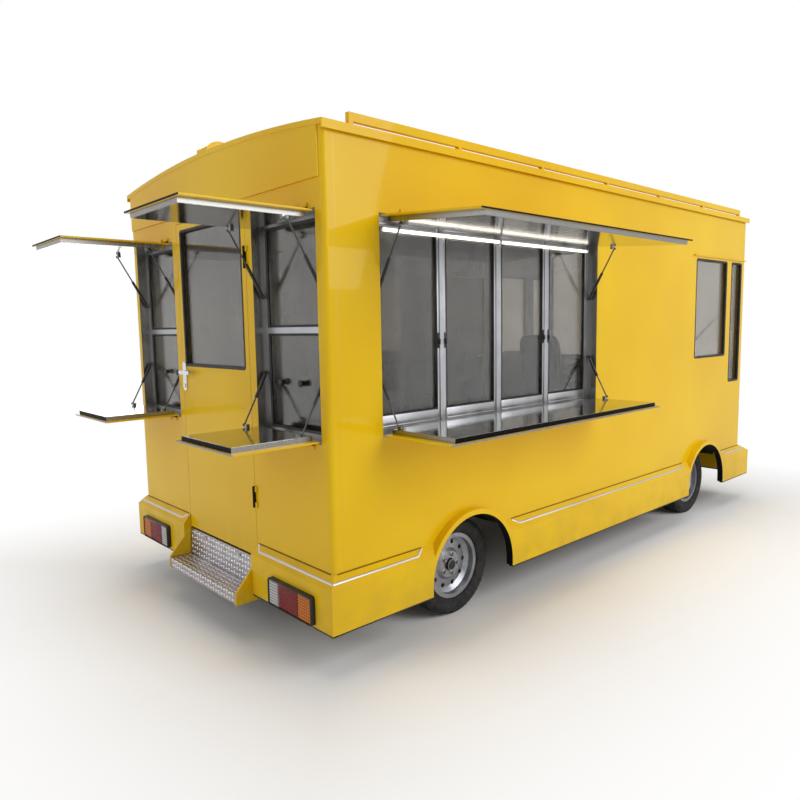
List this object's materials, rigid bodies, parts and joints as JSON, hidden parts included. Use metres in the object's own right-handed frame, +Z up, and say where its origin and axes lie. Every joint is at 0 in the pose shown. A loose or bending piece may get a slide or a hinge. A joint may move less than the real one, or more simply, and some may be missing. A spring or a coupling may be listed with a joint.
{
  "type": "electric food truck",
  "caption": "Box-bodied food truck with a serving hatch in its side, hatches beside a rear door, a cab under the same roof, steered front wheels and flaps on gas struts.",
  "frame": {"origin": "on the ground under the middle of the whole truck's box, with its flaps open", "axes": "+X forward, +Y to the truck's left, +Z up"},
  "size_m": [5.211, 2.7536, 2.5818],
  "materials": {
    "yellow_paint": "gloss",
    "floor_sheet": "satin",
    "black_steel": "satin",
    "battery_case": "satin",
    "aluminium": "satin",
    "glass": "gloss",
    "chequer_plate": "satin",
    "lamp_red": "gloss",
    "lamp_clear": "gloss",
    "stainless": "brushed",
    "seat_cloth": "matte",
    "black_plastic": "matte",
    "wheel_steel": "satin",
    "tyre": "matte",
    "chrome": "gloss",
    "rod_steel": "gloss"
  },
  "bodies": {
    "truck": {"wall_right": "yellow_paint", "wall_left": "yellow_paint", "wall_rear": "yellow_paint", "wall_front": "yellow_paint", "roof": "yellow_paint", "roof_rails": "yellow_paint", "floor": "floor_sheet", "skirt_right": "yellow_paint", "skirt_left": "yellow_paint", "bumper_rear": "yellow_paint", "bumper_front": "yellow_paint", "arch_lips": "yellow_paint", "chassis_frame": "black_steel", "front_axle": "black_steel", "rear_axle": "black_steel", "leaf_springs": "black_steel", "battery_pack": "battery_case", "window_frames": "aluminium", "window_glass": "glass", "step": "chequer_plate", "tail_lamps": "lamp_red", "headlamps": "lamp_clear", "worktop": "stainless", "driver_seat": "seat_cloth", "dashboard": "black_plastic", "steering_wheel": "black_plastic"},
    "steer_right": {"knuckle_right": "black_steel"},
    "steer_left": {"knuckle_left": "black_steel"},
    "front_right_wheel": {"wheel_front_right": "wheel_steel", "tyre_front_right": "tyre"},
    "front_left_wheel": {"wheel_front_left": "wheel_steel", "tyre_front_left": "tyre"},
    "rear_right_wheel": {"wheel_rear_right": "wheel_steel", "tyre_rear_right": "tyre"},
    "rear_left_wheel": {"wheel_rear_left": "wheel_steel", "tyre_rear_left": "tyre"},
    "rear_door": {"rear_door": "yellow_paint", "rear_door_glass": "glass", "rear_door_handle": "chrome"},
    "side_door": {"side_door": "yellow_paint"},
    "serving_awning": {"serving_awning": "yellow_paint"},
    "serving_awning_barrels": {"serving_awning_barrels": "black_steel"},
    "serving_awning_rods": {"serving_awning_rods": "rod_steel"},
    "serving_counter": {"serving_counter": "yellow_paint"},
    "serving_counter_barrels": {"serving_counter_barrels": "black_steel"},
    "serving_counter_rods": {"serving_counter_rods": "rod_steel"},
    "rear_right_awning": {"rear_right_awning": "yellow_paint"},
    "rear_right_awning_barrels": {"rear_right_awning_barrels": "black_steel"},
    "rear_right_awning_rods": {"rear_right_awning_rods": "rod_steel"},
    "rear_right_counter": {"rear_right_counter": "yellow_paint"},
    "rear_right_counter_barrels": {"rear_right_counter_barrels": "black_steel"},
    "rear_right_counter_rods": {"rear_right_counter_rods": "rod_steel"},
    "rear_left_awning": {"rear_left_awning": "yellow_paint"},
    "rear_left_awning_barrels": {"rear_left_awning_barrels": "black_steel"},
    "rear_left_awning_rods": {"rear_left_awning_rods": "rod_steel"},
    "rear_left_counter": {"rear_left_counter": "yellow_paint"},
    "rear_left_counter_barrels": {"rear_left_counter_barrels": "black_steel"},
    "rear_left_counter_rods": {"rear_left_counter_rods": "rod_steel"}
  },
  "joints": [
    {"name": "steer_right", "type": "hinge", "parent": "truck", "child": "steer_right", "pos_m": [1.7615, -0.5007, 0.273], "axis": [0, 0, 1], "range_deg": [-28, 28]},
    {"name": "steer_left", "type": "hinge", "parent": "truck", "child": "steer_left", "pos_m": [1.7615, 1.06431, 0.273], "axis": [0, 0, 1], "range_deg": [-28, 28]},
    {"name": "front_right_wheel_spin", "type": "hinge", "parent": "steer_right", "child": "front_right_wheel", "pos_m": [1.7615, -0.58569, 0.273], "axis": [0, 1, 0], "continuous": true},
    {"name": "front_left_wheel_spin", "type": "hinge", "parent": "steer_left", "child": "front_left_wheel", "pos_m": [1.7615, 1.14931, 0.273], "axis": [0, 1, 0], "continuous": true},
    {"name": "rear_right_wheel_spin", "type": "hinge", "parent": "truck", "child": "rear_right_wheel", "pos_m": [-1.0885, -0.58569, 0.273], "axis": [0, 1, 0], "continuous": true},
    {"name": "rear_left_wheel_spin", "type": "hinge", "parent": "truck", "child": "rear_left_wheel", "pos_m": [-1.0885, 1.14931, 0.273], "axis": [0, 1, 0], "continuous": true},
    {"name": "rear_door_hinge", "type": "hinge", "parent": "truck", "child": "rear_door", "pos_m": [-2.0025, -0.10819, 1.3], "axis": [0, 0, 1], "range_deg": [0, 90]},
    {"name": "side_door_hinge", "type": "hinge", "parent": "truck", "child": "side_door", "pos_m": [0.9155, 1.3398, 1.3], "axis": [0, 0, 1], "range_deg": [0, 90]},
    {"name": "serving_awning_hinge", "type": "hinge", "parent": "truck", "child": "serving_awning", "pos_m": [-0.7695, -0.77619, 2.11], "axis": [1, 0, 0], "range_deg": [0, 85.6]},
    {"name": "serving_awning_barrels_pivot", "type": "hinge", "parent": "truck", "child": "serving_awning_barrels", "pos_m": [-0.7695, -0.7252, 1.75], "axis": [-1, 0, 0], "range_deg": [0, 29.57]},
    {"name": "serving_awning_rods_slide", "type": "slide", "parent": "serving_awning_barrels", "child": "serving_awning_rods", "axis": [0, 0.4928, -0.8702], "range_m": [0, 0.10763]},
    {"name": "serving_counter_hinge", "type": "hinge", "parent": "truck", "child": "serving_counter", "pos_m": [-0.7695, -0.77619, 1.075], "axis": [-1, 0, 0], "range_deg": [0, 90]},
    {"name": "serving_counter_barrels_pivot", "type": "hinge", "parent": "truck", "child": "serving_counter_barrels", "pos_m": [-0.7695, -0.7252, 1.375], "axis": [1, 0, 0], "range_deg": [0, 28.34]},
    {"name": "serving_counter_rods_slide", "type": "slide", "parent": "serving_counter_barrels", "child": "serving_counter_rods", "axis": [0, 0.4739, 0.8806], "range_m": [0, 0.06597]},
    {"name": "rear_right_awning_hinge", "type": "hinge", "parent": "truck", "child": "rear_right_awning", "pos_m": [-2.0025, -0.4382, 2.11], "axis": [0, -1, 0], "range_deg": [0, 90]},
    {"name": "rear_right_awning_barrels_pivot", "type": "hinge", "parent": "truck", "child": "rear_right_awning_barrels", "pos_m": [-1.9515, -0.4382, 1.75], "axis": [0, 1, 0], "range_deg": [0, 29.43]},
    {"name": "rear_right_awning_rods_slide", "type": "slide", "parent": "rear_right_awning_barrels", "child": "rear_right_awning_rods", "axis": [0.4907, 0, -0.8713], "range_m": [0, 0.11782]},
    {"name": "rear_right_counter_hinge", "type": "hinge", "parent": "truck", "child": "rear_right_counter", "pos_m": [-2.0025, -0.4382, 1.075], "axis": [0, 1, 0], "range_deg": [0, 90]},
    {"name": "rear_right_counter_barrels_pivot", "type": "hinge", "parent": "truck", "child": "rear_right_counter_barrels", "pos_m": [-1.9515, -0.4382, 1.375], "axis": [0, -1, 0], "range_deg": [0, 28.34]},
    {"name": "rear_right_counter_rods_slide", "type": "slide", "parent": "rear_right_counter_barrels", "child": "rear_right_counter_rods", "axis": [0.4739, 0, 0.8806], "range_m": [0, 0.06597]},
    {"name": "rear_left_awning_hinge", "type": "hinge", "parent": "truck", "child": "rear_left_awning", "pos_m": [-2.0025, 1.00181, 2.11], "axis": [0, -1, 0], "range_deg": [0, 90]},
    {"name": "rear_left_awning_barrels_pivot", "type": "hinge", "parent": "truck", "child": "rear_left_awning_barrels", "pos_m": [-1.9515, 1.00181, 1.75], "axis": [0, 1, 0], "range_deg": [0, 29.43]},
    {"name": "rear_left_awning_rods_slide", "type": "slide", "parent": "rear_left_awning_barrels", "child": "rear_left_awning_rods", "axis": [0.4907, 0, -0.8713], "range_m": [0, 0.11782]},
    {"name": "rear_left_counter_hinge", "type": "hinge", "parent": "truck", "child": "rear_left_counter", "pos_m": [-2.0025, 1.00181, 1.075], "axis": [0, 1, 0], "range_deg": [0, 90]},
    {"name": "rear_left_counter_barrels_pivot", "type": "hinge", "parent": "truck", "child": "rear_left_counter_barrels", "pos_m": [-1.9515, 1.00181, 1.375], "axis": [0, -1, 0], "range_deg": [0, 28.34]},
    {"name": "rear_left_counter_rods_slide", "type": "slide", "parent": "rear_left_counter_barrels", "child": "rear_left_counter_rods", "axis": [0.4739, 0, 0.8806], "range_m": [0, 0.06597]}
  ],
  "couplings": [
    {"joint": "steer_left", "follows": "steer_right", "ratio": 1},
    {"joint": "serving_awning_barrels_pivot", "follows": "serving_awning_hinge", "ratio": 0.34489},
    {"joint": "serving_awning_rods_slide", "follows": "serving_awning_hinge", "m_per_rad": 0.07191},
    {"joint": "serving_counter_barrels_pivot", "follows": "serving_counter_hinge", "ratio": 0.3143},
    {"joint": "serving_counter_rods_slide", "follows": "serving_counter_hinge", "m_per_rad": 0.041868},
    {"joint": "rear_right_awning_barrels_pivot", "follows": "rear_right_awning_hinge", "ratio": 0.32649},
    {"joint": "rear_right_awning_rods_slide", "follows": "rear_right_awning_hinge", "m_per_rad": 0.074881},
    {"joint": "rear_right_counter_barrels_pivot", "follows": "rear_right_counter_hinge", "ratio": 0.3143},
    {"joint": "rear_right_counter_rods_slide", "follows": "rear_right_counter_hinge", "m_per_rad": 0.041868},
    {"joint": "rear_left_awning_barrels_pivot", "follows": "rear_left_awning_hinge", "ratio": 0.32649},
    {"joint": "rear_left_awning_rods_slide", "follows": "rear_left_awning_hinge", "m_per_rad": 0.074881},
    {"joint": "rear_left_counter_barrels_pivot", "follows": "rear_left_counter_hinge", "ratio": 0.3143},
    {"joint": "rear_left_counter_rods_slide", "follows": "rear_left_counter_hinge", "m_per_rad": 0.041868}
  ]
}
